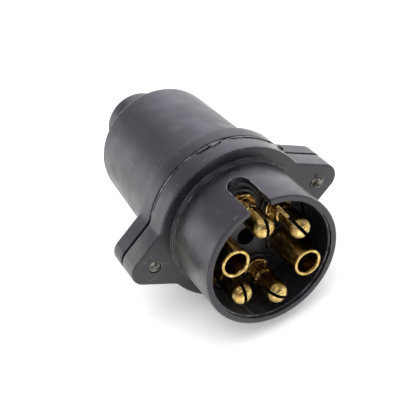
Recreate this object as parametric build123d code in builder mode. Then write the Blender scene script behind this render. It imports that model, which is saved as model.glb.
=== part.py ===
"""Seven-way trailer wiring plug: keyed collar, contact insert and a screwed-on rear cover.

The plug's axis is Y. The origin is the centre of the collar's rim, -Y is the mating end,
+Y the cable end, +Z the side with the keyway, and the two flange ears point along -X and +X.
Every size is in millimetres.
"""

import os
from math import acos, cos, radians, sin

from build123d import *

os.makedirs("parts", exist_ok=True)

# Collar and keyway
collar_radius = 21.5
collar_length = 21.7
collar_wall = 2.3
rim_wall = 1.9
rim_step_depth = 1.2
rim_chamfer = 0.35
root_ring_height = 0.7
root_ring_length = 0.9
keyway_width = 6.9
keyway_length = 15.4

# Flanges and ears, the same outline on the housing and on the cover
flange_overhang = 4.2
front_flange_thickness = 7.3
rear_flange_thickness = 5.9
ear_screw_reach = 2.7
ear_tip_offset = 2.9
ear_tip_radius = 4.65
ear_flank_angle = 31.5
ear_root_fillet = 4.0
flange_edge_fillet = 0.5

# Gasket between the flanges
gasket_thickness = 1.0
gasket_edge_inset = 0.3
gasket_width = 3.2

# Rear cover
cover_flange_ledge = 3.1
cover_taper = 1.6
cover_body_length = 43.0
cover_wall = 2.2
cover_end_fillet = 1.8
cover_root_fillet = 0.8
neck_length = 18.6
neck_wall = 2.2
neck_lip_length = 2.0
neck_lip_overlap = 1.6
neck_end_fillet = 1.2

# Contact insert
insert_face_depth = 15.0
insert_shoulder_depth = 24.0
insert_shoulder_width = 2.2
insert_back_depth = 36.0
insert_back_step = 1.0
contact_boss_radius = 5.4
contact_boss_height = 1.2
centre_cavity_radius = 3.0

# Contacts
contact_circle_inset = 6.6
contact_circle_turn = -1.7
contact_circle_shift = -0.6
contact_count = 6
pin_radius = 3.3
pin_tip_depth = -1.75
pin_nose_radius = 3.0
pin_slit_width = 0.9
pin_slit_length = 12.0
pin_collar_radius = 4.3
pin_collar_length = 1.2
tube_outer_radius = 4.4
tube_inner_radius = 3.4
tube_tip_depth = -0.6
tube_hole_depth = 13.0
shank_radius = 2.5

# Terminals behind the insert
terminal_radius = 3.5
terminal_length = 11.0
terminal_flat_height = 2.7
wire_hole_radius = 1.6
wire_hole_depth = 8.5
terminal_screw_radius = 1.45
terminal_screw_head_overhang = 1.05
terminal_screw_head_height = 1.8
terminal_screw_inset = 5.2
screw_slot_width = 0.8
screw_slot_depth = 0.8

# Flange screws
flange_screw_radius = 2.0
flange_screw_head_overhang = 1.6
flange_screw_head_height = 2.5
left_screw_setback = 0.35
right_screw_setback = -0.3
recess_width = 1.1
recess_length = 4.2
recess_depth = 1.4

# Cable clamp inside the cover and the grommet in its neck
clamp_throat_radius = 4.9
clamp_seat_height = -1.0
clamp_seat_length = 10.5
clamp_bar_length = 5.5
clamp_bar_inset = 2.0
clamp_bar_thickness = 2.0
clamp_foot_margin = 3.0
clamp_screw_inset = 5.1
clamp_screw_radius = 1.45
clamp_screw_length = 8.5
clamp_screw_head_overhang = 1.25
clamp_screw_head_height = 2.0
grommet_bore_radius = 4.75
grommet_wall = 4.4
grommet_chamfer = 0.8

# Clearances of the fits
running_fit = 0.05
seat_clearance = 0.2
moulding_fit = 0.02

# Stations along the axis, counted back from the rim
joint_depth = collar_length + front_flange_thickness
cover_start = joint_depth + gasket_thickness
cover_body_start = cover_start + rear_flange_thickness
cover_end = cover_body_start + cover_body_length
cavity_end = cover_end - cover_wall
neck_end = cover_end + neck_length
terminal_end = insert_back_depth + terminal_length
terminal_screw_depth = terminal_end - terminal_screw_inset
clamp_seat_front = cavity_end - clamp_seat_length

# Radii and offsets that follow from the sizes above
collar_bore_radius = collar_radius - collar_wall
rim_bore_radius = collar_radius - rim_wall
root_ring_radius = collar_radius + root_ring_height
flange_radius = collar_radius + flange_overhang
screw_offset = flange_radius + ear_screw_reach
insert_front_radius = collar_bore_radius - seat_clearance
insert_shoulder_radius = insert_front_radius + insert_shoulder_width
insert_back_radius = insert_front_radius - insert_back_step
housing_seat_radius = insert_shoulder_radius + seat_clearance
contact_circle_radius = collar_bore_radius - contact_circle_inset
first_contact_angle = 180 / contact_count + contact_circle_turn
gasket_outer_radius = flange_radius - gasket_edge_inset
gasket_inner_radius = gasket_outer_radius - gasket_width
cover_front_radius = flange_radius - cover_flange_ledge
cover_rear_radius = cover_front_radius - cover_taper
cavity_front_radius = cover_front_radius - cover_wall
cavity_rear_radius = cover_rear_radius - cover_wall
grommet_radius = grommet_bore_radius + grommet_wall
neck_bore_radius = grommet_radius + running_fit
neck_radius = neck_bore_radius + neck_wall
clamp_screw_offset = clamp_throat_radius + clamp_screw_inset
clamp_half_width = clamp_screw_offset + clamp_foot_margin


def station(depth):
    """Return the plane across the axis at a depth behind the rim, seen from the mating end."""
    return Plane.XZ.offset(-depth)


# ---------------------------------------------------------------- flange outline, drawn once
ear_tip_centre = screw_offset + ear_tip_offset
flank_normal = radians(90 - ear_flank_angle)
flank_distance = ear_tip_centre * cos(flank_normal) + ear_tip_radius
root_angle = flank_normal - acos(flank_distance / flange_radius)
ear_root = (flange_radius * cos(root_angle), flange_radius * sin(root_angle))
ear_tangent = (
    ear_tip_centre + ear_tip_radius * cos(flank_normal),
    ear_tip_radius * sin(flank_normal),
)

with BuildSketch(Plane.XY) as flange_outline:
    Circle(flange_radius)
    with Locations((-ear_tip_centre, 0), (ear_tip_centre, 0)):
        Circle(ear_tip_radius)
    for side in (-1, 1):
        with BuildLine():
            Polyline(
                (side * ear_root[0], ear_root[1]),
                (side * ear_tangent[0], ear_tangent[1]),
                (side * ear_tangent[0], -ear_tangent[1]),
                (side * ear_root[0], -ear_root[1]),
                close=True,
            )
        make_face()
    corner_reach = Vector(*ear_tangent).length - ear_tip_radius
    ear_corners = flange_outline.vertices().filter_by(lambda corner: Vector(*corner).length < corner_reach)
    fillet(ear_corners, ear_root_fillet)


# ---------------------------------------------------------------- front housing
with BuildPart() as front_housing:
    with BuildSketch(station(collar_length)):
        add(flange_outline.sketch)
    extrude(amount=-front_flange_thickness)
    fillet(front_housing.faces().sort_by(Axis.Y)[0].edges(), flange_edge_fillet)
    with BuildSketch(Plane.XY):
        with BuildLine():
            Polyline(
                (0, 0),
                (collar_radius - rim_chamfer, 0),
                (collar_radius, rim_chamfer),
                (collar_radius, collar_length - root_ring_length),
                (root_ring_radius, collar_length - root_ring_length),
                (root_ring_radius, collar_length),
                (0, collar_length),
                close=True,
            )
        make_face()
    revolve(axis=Axis.Y)
    # The bore: a shallow step at the rim, the collar's bore and the insert's seat
    with BuildSketch(Plane.XY):
        with BuildLine():
            Polyline(
                (0, 0),
                (rim_bore_radius, 0),
                (rim_bore_radius, rim_step_depth),
                (collar_bore_radius, rim_step_depth),
                (collar_bore_radius, insert_shoulder_depth),
                (housing_seat_radius, insert_shoulder_depth),
                (housing_seat_radius, joint_depth),
                (0, joint_depth),
                close=True,
            )
        make_face()
    revolve(axis=Axis.Y, mode=Mode.SUBTRACT)
    # The keyway: a slot with a round end, right through the top of the collar wall
    with BuildSketch(Plane.XY.offset(collar_bore_radius / 2)):
        with Locations((0, keyway_length - keyway_width / 2)):
            Circle(keyway_width / 2)
        with Locations((0, 0)):
            Rectangle(keyway_width, keyway_length - keyway_width / 2, align=(Align.CENTER, Align.MIN))
    extrude(amount=collar_radius, mode=Mode.SUBTRACT)
    with BuildSketch(station(collar_length)):
        with GridLocations(2 * screw_offset, 0, 2, 1):
            Circle(flange_screw_radius + running_fit)
    extrude(amount=-front_flange_thickness, mode=Mode.SUBTRACT)

front_housing.part.label = "front_housing"
export_step(front_housing.part, "parts/front_housing.step")


# ---------------------------------------------------------------- flange gasket
with BuildPart() as flange_gasket:
    with BuildSketch(station(joint_depth)):
        Circle(gasket_outer_radius)
        Circle(gasket_inner_radius, mode=Mode.SUBTRACT)
    extrude(amount=-gasket_thickness)

flange_gasket.part.label = "flange_gasket"
export_step(flange_gasket.part, "parts/flange_gasket.step")


# ---------------------------------------------------------------- rear cover
# The wiring space, less the clamp seat that stands on its floor
with BuildPart() as cover_cavity:
    with BuildSketch(Plane.XY):
        with BuildLine():
            Polyline(
                (0, cover_start),
                (cavity_front_radius, cover_start),
                (cavity_rear_radius, cavity_end),
                (0, cavity_end),
                close=True,
            )
        make_face()
    revolve(axis=Axis.Y)
    with BuildSketch(station(clamp_seat_front)):
        with Locations((0, clamp_seat_height)):
            Rectangle(2 * clamp_half_width, cover_rear_radius, align=(Align.CENTER, Align.MAX))
    extrude(amount=-clamp_seat_length, mode=Mode.SUBTRACT)
    with BuildSketch(station(clamp_seat_front)):
        Circle(clamp_throat_radius)
    extrude(amount=-clamp_seat_length)
    clamp_screw_station = clamp_seat_front + clamp_bar_inset + clamp_bar_length / 2
    with BuildSketch(Plane.XY.offset(clamp_seat_height)):
        with Locations((-clamp_screw_offset, clamp_screw_station), (clamp_screw_offset, clamp_screw_station)):
            Circle(clamp_screw_radius + running_fit)
    extrude(amount=-clamp_screw_length)

with BuildPart() as rear_cover:
    with BuildSketch(station(cover_start)):
        add(flange_outline.sketch)
    extrude(amount=-rear_flange_thickness)
    fillet(rear_cover.faces().sort_by(Axis.Y)[-1].edges(), flange_edge_fillet)
    with BuildSketch(Plane.XY):
        with BuildLine():
            Polyline(
                (0, cover_body_start - cover_root_fillet),
                (cover_front_radius, cover_body_start - cover_root_fillet),
                (cover_front_radius, cover_body_start),
                (cover_rear_radius, cover_end),
                (neck_radius, cover_end),
                (neck_radius, neck_end),
                (0, neck_end),
                close=True,
            )
        make_face()
    revolve(axis=Axis.Y)
    end_circles = rear_cover.edges().filter_by(GeomType.CIRCLE)
    body_end_edge = end_circles.filter_by(
        lambda edge: abs(edge.radius - cover_rear_radius) < 0.01 and abs(edge.center().Y - cover_end) < 0.01
    )
    fillet(body_end_edge, cover_end_fillet)
    neck_end_edge = rear_cover.edges().filter_by(GeomType.CIRCLE).sort_by(Axis.Y)[-1]
    fillet(neck_end_edge, neck_end_fillet)
    add(cover_cavity.part, mode=Mode.SUBTRACT)
    # The neck: the grommet's bore and the lip behind it
    with BuildSketch(Plane.XY):
        with BuildLine():
            Polyline(
                (0, cavity_end),
                (neck_bore_radius, cavity_end),
                (neck_bore_radius, neck_end - neck_lip_length),
                (neck_bore_radius - neck_lip_overlap, neck_end - neck_lip_length),
                (neck_bore_radius - neck_lip_overlap, neck_end),
                (0, neck_end),
                close=True,
            )
        make_face()
    revolve(axis=Axis.Y, mode=Mode.SUBTRACT)
    with BuildSketch(station(cover_start)):
        with GridLocations(2 * screw_offset, 0, 2, 1):
            Circle(flange_screw_radius + running_fit)
    extrude(amount=-rear_flange_thickness, mode=Mode.SUBTRACT)

rear_cover.part.label = "rear_cover"
export_step(rear_cover.part, "parts/rear_cover.step")


# ---------------------------------------------------------------- contact insert
with BuildPart() as contact_insert:
    with BuildSketch(Plane.XY):
        with BuildLine():
            Polyline(
                (0, insert_face_depth),
                (insert_front_radius, insert_face_depth),
                (insert_front_radius, insert_shoulder_depth),
                (insert_shoulder_radius, insert_shoulder_depth),
                (insert_shoulder_radius, cover_start),
                (insert_back_radius, cover_start),
                (insert_back_radius, insert_back_depth),
                (0, insert_back_depth),
                close=True,
            )
        make_face()
    revolve(axis=Axis.Y)
    with BuildSketch(station(insert_face_depth - contact_boss_height)):
        with Locations((contact_circle_shift, 0)):
            with PolarLocations(contact_circle_radius, contact_count, start_angle=first_contact_angle):
                Circle(contact_boss_radius)
    extrude(amount=-contact_boss_height)
    with BuildSketch(station(insert_face_depth - contact_boss_height)):
        with Locations((contact_circle_shift, 0)):
            with PolarLocations(contact_circle_radius, contact_count, start_angle=first_contact_angle):
                Circle(shank_radius + moulding_fit)
            Circle(centre_cavity_radius)
    extrude(amount=insert_face_depth - contact_boss_height - insert_back_depth, mode=Mode.SUBTRACT)

contact_insert.part.label = "contact_insert"
export_step(contact_insert.part, "parts/contact_insert.step")


# ---------------------------------------------------------------- contacts and terminal screws
# Each contact: its name, its place round the circle and, on a pin, the slit's direction
contacts = [
    ("pin_contact_top", 90, 76),
    ("pin_contact_upper_right", 30, 114),
    ("pin_contact_lower_left", 210, 78),
    ("pin_contact_bottom", 270, 138),
    ("socket_contact_upper_left", 150, None),
    ("socket_contact_lower_right", 330, None),
]
boss_face_depth = insert_face_depth - contact_boss_height

for contact_name, place, slit_direction in contacts:
    turn = radians(place + contact_circle_turn)
    outward = Vector(cos(turn), 0, sin(turn))
    centre = outward * contact_circle_radius + Vector(contact_circle_shift, 0, 0)
    lengthwise = Plane(origin=centre, x_dir=outward, z_dir=(-sin(turn), 0, cos(turn)))
    contact_axis = Axis(centre, (0, 1, 0))

    with BuildPart() as contact:
        if slit_direction is None:
            front_profile = [
                (0, tube_tip_depth + tube_hole_depth),
                (tube_inner_radius, tube_tip_depth + tube_hole_depth),
                (tube_inner_radius, tube_tip_depth),
                (tube_outer_radius, tube_tip_depth),
                (tube_outer_radius, boss_face_depth),
            ]
        else:
            front_profile = [
                (0, pin_tip_depth),
                (pin_radius, pin_tip_depth),
                (pin_radius, boss_face_depth - pin_collar_length),
                (pin_collar_radius, boss_face_depth - pin_collar_length),
                (pin_collar_radius, boss_face_depth),
            ]
        with BuildSketch(lengthwise):
            with BuildLine():
                Polyline(
                    *front_profile,
                    (shank_radius, boss_face_depth),
                    (shank_radius, insert_back_depth),
                    (terminal_radius, insert_back_depth),
                    (terminal_radius, terminal_end),
                    (wire_hole_radius, terminal_end),
                    (wire_hole_radius, terminal_end - wire_hole_depth),
                    (0, terminal_end - wire_hole_depth),
                    close=True,
                )
            make_face()
        revolve(axis=contact_axis)
        if slit_direction is None:
            chamfer(contact.faces().sort_by(Axis.Y)[0].edges(), (tube_outer_radius - tube_inner_radius) / 4)
        else:
            fillet(contact.faces().sort_by(Axis.Y)[0].edges(), pin_nose_radius)
            with BuildSketch(station(pin_tip_depth)):
                with Locations(Location((centre.X, centre.Z, 0), slit_direction)):
                    Rectangle(3 * pin_radius, pin_slit_width)
            extrude(amount=-pin_slit_length, mode=Mode.SUBTRACT)
        # The flat that the screw's head seats on, and the screw's hole
        seat = Plane(
            origin=centre + outward * terminal_flat_height + Vector(0, terminal_screw_depth, 0),
            x_dir=(0, 1, 0),
            z_dir=outward,
        )
        with BuildSketch(seat):
            with Locations((terminal_screw_inset - terminal_length / 2, 0)):
                Rectangle(terminal_length, 3 * terminal_radius)
        extrude(amount=terminal_radius, mode=Mode.SUBTRACT)
        with BuildSketch(seat):
            Circle(terminal_screw_radius + running_fit)
        extrude(amount=-terminal_flat_height, mode=Mode.SUBTRACT)

    contact.part.label = contact_name
    export_step(contact.part, f"parts/{contact_name}.step")

    with BuildPart() as terminal_screw:
        with BuildSketch(seat):
            Circle(terminal_screw_radius + terminal_screw_head_overhang)
        extrude(amount=terminal_screw_head_height)
        head_top = terminal_screw.faces().sort_by(Axis(centre, outward))[-1]
        fillet(head_top.edges(), terminal_screw_head_height / 3)
        with BuildSketch(seat.offset(terminal_screw_head_height)):
            Rectangle(4 * terminal_radius, screw_slot_width)
        extrude(amount=-screw_slot_depth, mode=Mode.SUBTRACT)
        with BuildSketch(seat):
            Circle(terminal_screw_radius)
        extrude(amount=-(terminal_flat_height - wire_hole_radius / 4))

    screw_name = contact_name.replace("contact", "terminal_screw")
    terminal_screw.part.label = screw_name
    export_step(terminal_screw.part, f"parts/{screw_name}.step")


# ---------------------------------------------------------------- flange screws
for screw_name, side, setback in (
    ("left_flange_screw", -1, left_screw_setback),
    ("right_flange_screw", 1, right_screw_setback),
):
    head_plane = Plane(origin=(side * screw_offset, cover_body_start, 0), x_dir=(1, 0, 0), z_dir=(0, 1, 0))
    shank_length = cover_body_start - collar_length - setback
    with BuildPart() as flange_screw:
        with BuildSketch(head_plane):
            Circle(flange_screw_radius + flange_screw_head_overhang)
        extrude(amount=flange_screw_head_height)
        fillet(flange_screw.faces().sort_by(Axis.Y)[-1].edges(), flange_screw_head_height / 2)
        with BuildSketch(head_plane.offset(flange_screw_head_height)):
            Rectangle(recess_length, recess_width)
            Rectangle(recess_width, recess_length)
        extrude(amount=-recess_depth, mode=Mode.SUBTRACT)
        with BuildSketch(head_plane):
            Circle(flange_screw_radius)
        extrude(amount=-shank_length)
        chamfer(flange_screw.faces().sort_by(Axis.Y)[0].edges(), flange_screw_radius / 5)

    flange_screw.part.label = screw_name
    export_step(flange_screw.part, f"parts/{screw_name}.step")


# ---------------------------------------------------------------- cable clamp
clamp_bar_start = clamp_seat_front + clamp_bar_inset
strap_radius = clamp_throat_radius + clamp_bar_thickness
with BuildPart() as cable_clamp_bar:
    with BuildSketch(station(clamp_bar_start)):
        Circle(strap_radius)
        with Locations((0, clamp_seat_height)):
            Rectangle(2 * clamp_half_width, clamp_bar_thickness, align=(Align.CENTER, Align.MIN))
            Rectangle(2 * strap_radius, strap_radius, align=(Align.CENTER, Align.MAX), mode=Mode.SUBTRACT)
        Circle(clamp_throat_radius, mode=Mode.SUBTRACT)
    extrude(amount=-clamp_bar_length)
    with BuildSketch(Plane.XY.offset(clamp_seat_height)):
        with Locations((-clamp_screw_offset, clamp_screw_station), (clamp_screw_offset, clamp_screw_station)):
            Circle(clamp_screw_radius + running_fit)
    extrude(amount=clamp_bar_thickness, mode=Mode.SUBTRACT)

cable_clamp_bar.part.label = "cable_clamp_bar"
export_step(cable_clamp_bar.part, "parts/cable_clamp_bar.step")

for screw_name, side in (("left_clamp_screw", -1), ("right_clamp_screw", 1)):
    head_plane = Plane(
        origin=(side * clamp_screw_offset, clamp_screw_station, clamp_seat_height + clamp_bar_thickness)
    )
    with BuildPart() as clamp_screw:
        with BuildSketch(head_plane):
            Circle(clamp_screw_radius + clamp_screw_head_overhang)
        extrude(amount=clamp_screw_head_height)
        fillet(clamp_screw.faces().sort_by(Axis.Z)[-1].edges(), clamp_screw_head_height / 3)
        with BuildSketch(head_plane.offset(clamp_screw_head_height)):
            Rectangle(4 * clamp_foot_margin, screw_slot_width)
        extrude(amount=-screw_slot_depth, mode=Mode.SUBTRACT)
        with BuildSketch(head_plane):
            Circle(clamp_screw_radius)
        extrude(amount=-clamp_screw_length)

    clamp_screw.part.label = screw_name
    export_step(clamp_screw.part, f"parts/{screw_name}.step")


# ---------------------------------------------------------------- cable grommet
with BuildPart() as cable_grommet:
    with BuildSketch(Plane.XY):
        with BuildLine():
            Polyline(
                (grommet_bore_radius, cover_end),
                (grommet_radius, cover_end),
                (grommet_radius, neck_end - neck_lip_length),
                (grommet_bore_radius, neck_end - neck_lip_length),
                close=True,
            )
        make_face()
    revolve(axis=Axis.Y)
    bore_edges = cable_grommet.edges().filter_by(
        lambda edge: edge.geom_type == GeomType.CIRCLE and abs(edge.radius - grommet_bore_radius) < 0.01
    )
    chamfer(bore_edges, grommet_chamfer)

cable_grommet.part.label = "cable_grommet"
export_step(cable_grommet.part, "parts/cable_grommet.step")
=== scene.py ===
"""Looks of a seven-way trailer plug: moulded black housings, brass contacts, screws and its studio.

The plug's axis is Y, with -Y the mating end, +Y the cable end and +Z the side of the keyway.
Everything is in metres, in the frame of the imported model.
"""

from math import acos, asin, atan2, cos, hypot, pi, radians, sin

import bmesh
import bpy
from bpy.props import FloatProperty, FloatVectorProperty, PointerProperty
from mathutils import Matrix, Vector, noise


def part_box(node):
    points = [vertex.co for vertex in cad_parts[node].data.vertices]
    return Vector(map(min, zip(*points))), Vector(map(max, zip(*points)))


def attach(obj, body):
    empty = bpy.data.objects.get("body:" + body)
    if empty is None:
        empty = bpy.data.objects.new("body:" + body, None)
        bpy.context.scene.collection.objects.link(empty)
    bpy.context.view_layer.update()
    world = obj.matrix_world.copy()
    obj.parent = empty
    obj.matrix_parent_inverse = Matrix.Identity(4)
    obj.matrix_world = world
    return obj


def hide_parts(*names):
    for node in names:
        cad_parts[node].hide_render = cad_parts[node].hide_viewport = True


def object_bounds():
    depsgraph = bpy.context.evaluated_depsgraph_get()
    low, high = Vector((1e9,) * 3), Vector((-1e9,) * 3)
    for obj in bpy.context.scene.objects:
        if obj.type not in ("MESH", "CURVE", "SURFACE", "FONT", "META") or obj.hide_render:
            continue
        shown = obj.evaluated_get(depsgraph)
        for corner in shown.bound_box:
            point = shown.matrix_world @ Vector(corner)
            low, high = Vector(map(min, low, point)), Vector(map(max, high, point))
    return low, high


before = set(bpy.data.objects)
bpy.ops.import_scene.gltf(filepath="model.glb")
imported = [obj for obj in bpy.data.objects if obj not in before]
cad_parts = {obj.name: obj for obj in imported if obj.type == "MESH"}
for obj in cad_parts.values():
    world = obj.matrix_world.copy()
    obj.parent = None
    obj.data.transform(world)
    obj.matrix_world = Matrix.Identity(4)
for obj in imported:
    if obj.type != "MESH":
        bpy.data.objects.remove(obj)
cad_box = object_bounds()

bl_info = {
    "name": "Trailer Plug Builder",
    "version": (1, 0, 0),
    "blender": (4, 5, 0),
    "location": "View3D > Sidebar > Trailer Plug",
    "description": "Builds the finishes, turned contacts, screws and studio of a seven-way trailer plug",
    "category": "Object",
}

MM = 0.001
PIN_NODES = [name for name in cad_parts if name.startswith("pin_contact")]
SOCKET_NODES = [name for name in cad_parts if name.startswith("socket_contact")]
TERMINAL_SCREW_NODES = [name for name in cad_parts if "terminal_screw" in name]
FLANGE_SCREW_NODES = ["left_flange_screw", "right_flange_screw"]
CLAMP_SCREW_NODES = ["left_clamp_screw", "right_clamp_screw"]
# Angle that each flange screw's cross recess was left at, in degrees.
RECESS_TURNS = {"left_flange_screw": 28, "right_flange_screw": 65}
TERMINAL_LENGTH = 11.0 * MM
# Direction of each pin's slit in the XZ plane, in degrees from +X towards +Z.
SLIT_DIRECTIONS = {
    "pin_contact_top": 76,
    "pin_contact_upper_right": 114,
    "pin_contact_lower_left": 78,
    "pin_contact_bottom": 138,
}


# ---------------------------------------------------------------- node helpers
def add_node(tree, kind, inputs=None, **settings):
    """Add a shader node, set its options, and fill its inputs with values or links from sockets."""
    node = tree.nodes.new(kind)
    for option, value in settings.items():
        setattr(node, option, value)
    for key, value in (inputs or {}).items():
        if isinstance(value, bpy.types.NodeSocket):
            tree.links.new(value, node.inputs[key])
        else:
            node.inputs[key].default_value = value
    return node


def math_node(tree, operation, *values, clamp=False):
    """Return the output of one Math node."""
    node = add_node(tree, "ShaderNodeMath", dict(enumerate(values)), operation=operation, use_clamp=clamp)
    return node.outputs[0]


def multiply(tree, *values):
    """Return the product of two or more values."""
    product = values[0]
    for value in values[1:]:
        product = math_node(tree, "MULTIPLY", product, value)
    return product


def remap(tree, value, low, high, new_low=0.0, new_high=1.0):
    """Return the value moved smoothly from one range to another."""
    inputs = {"Value": value, "From Min": low, "From Max": high, "To Min": new_low, "To Max": new_high}
    return add_node(tree, "ShaderNodeMapRange", inputs, interpolation_type="SMOOTHSTEP").outputs["Result"]


def blend_colour(tree, mask, first, second):
    """Return the first colour turned into the second where the mask is one."""
    node = add_node(tree, "ShaderNodeMix", data_type="RGBA")
    for index, value in ((0, mask), (6, first), (7, second)):
        if isinstance(value, bpy.types.NodeSocket):
            tree.links.new(value, node.inputs[index])
        else:
            node.inputs[index].default_value = value
    return node.outputs[2]


def stretched_place(tree, stretch=(1, 1, 1), turn=(0, 0, 0)):
    """Return object coordinates turned, then stretched along the axes."""
    place = add_node(tree, "ShaderNodeTexCoord").outputs["Object"]
    inputs = {"Vector": place, "Rotation": turn, "Scale": stretch}
    return add_node(tree, "ShaderNodeMapping", inputs).outputs["Vector"]


def noise_value(tree, scale, place, detail=3.0, roughness=0.55, distortion=0.0):
    """Return a noise value at a scale in cells per metre."""
    inputs = {"Vector": place, "Scale": scale, "Detail": detail}
    inputs.update({"Roughness": roughness, "Distortion": distortion})
    return add_node(tree, "ShaderNodeTexNoise", inputs).outputs["Fac"]


def new_group(name, inputs, outputs):
    """Start a node group with named value inputs and outputs."""
    group = bpy.data.node_groups.new(name, "ShaderNodeTree")
    for label, default in inputs:
        socket = group.interface.new_socket(name=label, in_out="INPUT", socket_type="NodeSocketFloat")
        socket.default_value = default
    for label in outputs:
        group.interface.new_socket(name=label, in_out="OUTPUT", socket_type="NodeSocketFloat")
    return group, add_node(group, "NodeGroupInput"), add_node(group, "NodeGroupOutput")


def use_group(tree, builder, **values):
    """Place a shared node group, building it the first time, and set its inputs."""
    group = bpy.data.node_groups.get(builder.__name__) or builder(builder.__name__)
    node = add_node(tree, "ShaderNodeGroup", node_tree=group)
    for label, value in values.items():
        node.inputs[label.replace("_", " ")].default_value = value
    return node


# ---------------------------------------------------------------- shared effects
def moulded_grain(name):
    """Fine pitted grain of a moulded surface, with slow mottling from the mould."""
    group, given, out = new_group(name, [("Cells", 3000.0), ("Mottle cells", 160.0)], ["Height", "Mottle"])
    place = stretched_place(group)
    fine = noise_value(group, given.outputs["Cells"], place, detail=2.0)
    slow = noise_value(group, given.outputs["Mottle cells"], place, detail=4.0)
    fine_part, slow_part = multiply(group, fine, 0.6), multiply(group, slow, 0.4)
    group.links.new(math_node(group, "ADD", fine_part, slow_part), out.inputs["Height"])
    group.links.new(slow, out.inputs["Mottle"])
    return group


def edge_wear(name):
    """Mask of rubbed edges: where a rounded normal leaves the true one, broken up by noise."""
    inputs = [("Width", 0.0004), ("Breakup cells", 700.0), ("Amount", 0.6)]
    group, given, out = new_group(name, inputs, ["Mask"])
    rounded = add_node(group, "ShaderNodeBevel", {"Radius": given.outputs["Width"]}, samples=6)
    true_normal = add_node(group, "ShaderNodeNewGeometry").outputs["Normal"]
    vectors = {0: rounded.outputs["Normal"], 1: true_normal}
    agreement = add_node(group, "ShaderNodeVectorMath", vectors, operation="DOT_PRODUCT").outputs["Value"]
    edge = remap(group, agreement, 0.995, 0.9)
    broken = noise_value(group, given.outputs["Breakup cells"], stretched_place(group), detail=3.0)
    mask = multiply(group, edge, remap(group, broken, 0.38, 0.62), given.outputs["Amount"])
    group.links.new(mask, out.inputs["Mask"])
    return group


def scuffs(name):
    """Thin scratches in two directions, as a mask and as a height."""
    group, given, out = new_group(name, [("Cells", 900.0), ("Amount", 0.5)], ["Mask", "Depth"])
    masks = []
    for turn, stretch in (((0.3, 0.0, 0.5), (1, 0.03, 1)), ((1.1, 0.4, -0.7), (0.04, 1, 1))):
        place = stretched_place(group, stretch=stretch, turn=turn)
        lines = noise_value(group, given.outputs["Cells"], place, detail=2.0, distortion=0.4)
        masks.append(remap(group, lines, 0.665, 0.72))
    patches = remap(group, noise_value(group, 90.0, stretched_place(group)), 0.45, 0.65)
    mask = multiply(group, math_node(group, "MAXIMUM", *masks), patches, given.outputs["Amount"])
    group.links.new(mask, out.inputs["Mask"])
    group.links.new(multiply(group, mask, -1.0), out.inputs["Depth"])
    return group


def dust(name):
    """Mask of pale specks that lie on the upper faces, with a faint film between them."""
    group, given, out = new_group(name, [("Specks", 420.0), ("Amount", 0.5)], ["Mask"])
    place = stretched_place(group)
    cells = add_node(group, "ShaderNodeTexVoronoi", {"Vector": place, "Scale": given.outputs["Specks"]})
    dots = remap(group, cells.outputs["Distance"], 0.1, 0.05)
    chosen = math_node(group, "GREATER_THAN", noise_value(group, 260.0, place, detail=1.0), 0.6)
    film = remap(group, noise_value(group, 130.0, place, detail=5.0), 0.5, 0.85, 0.0, 0.12)
    normal = add_node(group, "ShaderNodeNewGeometry").outputs["Normal"]
    upward = remap(group, add_node(group, "ShaderNodeSeparateXYZ", {0: normal}).outputs["Z"], -0.2, 0.9)
    mask = math_node(group, "MAXIMUM", multiply(group, dots, chosen), film)
    mask = multiply(group, mask, upward, given.outputs["Amount"])
    group.links.new(mask, out.inputs["Mask"])
    return group


def turning_marks(name):
    """Rings left by the lathe along the plug's axis, a little uneven."""
    group, given, out = new_group(name, [("Rings", 1800.0), ("Waver", 1.2)], ["Height", "Streaks"])
    inputs = {"Scale": given.outputs["Rings"], "Distortion": given.outputs["Waver"], "Detail": 2.0}
    inputs["Vector"] = stretched_place(group)
    rings = add_node(group, "ShaderNodeTexWave", inputs, bands_direction="Y").outputs["Fac"]
    along = stretched_place(group, stretch=(1, 0.18, 1))
    streaks = noise_value(group, 700.0, along, detail=4.0, distortion=0.6)
    group.links.new(rings, out.inputs["Height"])
    group.links.new(streaks, out.inputs["Streaks"])
    return group


def crevice_grime_and_shade(name):
    """Mask of the hollows and corners, where dirt collects and where shade is painted."""
    group, given, out = new_group(name, [("Reach", 0.003), ("Amount", 0.8)], ["Mask"])
    shade = add_node(group, "ShaderNodeAmbientOcclusion", {"Distance": given.outputs["Reach"]}, samples=8)
    mask = remap(group, shade.outputs["AO"], 0.85, 0.25)
    broken = remap(group, noise_value(group, 500.0, stretched_place(group)), 0.3, 0.6, 0.4, 1.0)
    mask = multiply(group, mask, broken, given.outputs["Amount"])
    group.links.new(mask, out.inputs["Mask"])
    return group


# ---------------------------------------------------------------- finishes
def new_material(name):
    """Start a material with a Principled BSDF wired to its output."""
    material = bpy.data.materials.new(name)
    material.use_nodes = True
    tree = material.node_tree
    tree.nodes.clear()
    shader = add_node(tree, "ShaderNodeBsdfPrincipled")
    add_node(tree, "ShaderNodeOutputMaterial", {"Surface": shader.outputs["BSDF"]})
    return material, tree, shader


def set_normal(tree, shader, height, distance, strength=1.0):
    """Drive the shader's normal from a height."""
    bump = add_node(tree, "ShaderNodeBump", {"Height": height, "Distance": distance, "Strength": strength})
    tree.links.new(bump.outputs["Normal"], shader.inputs["Normal"])


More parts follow.
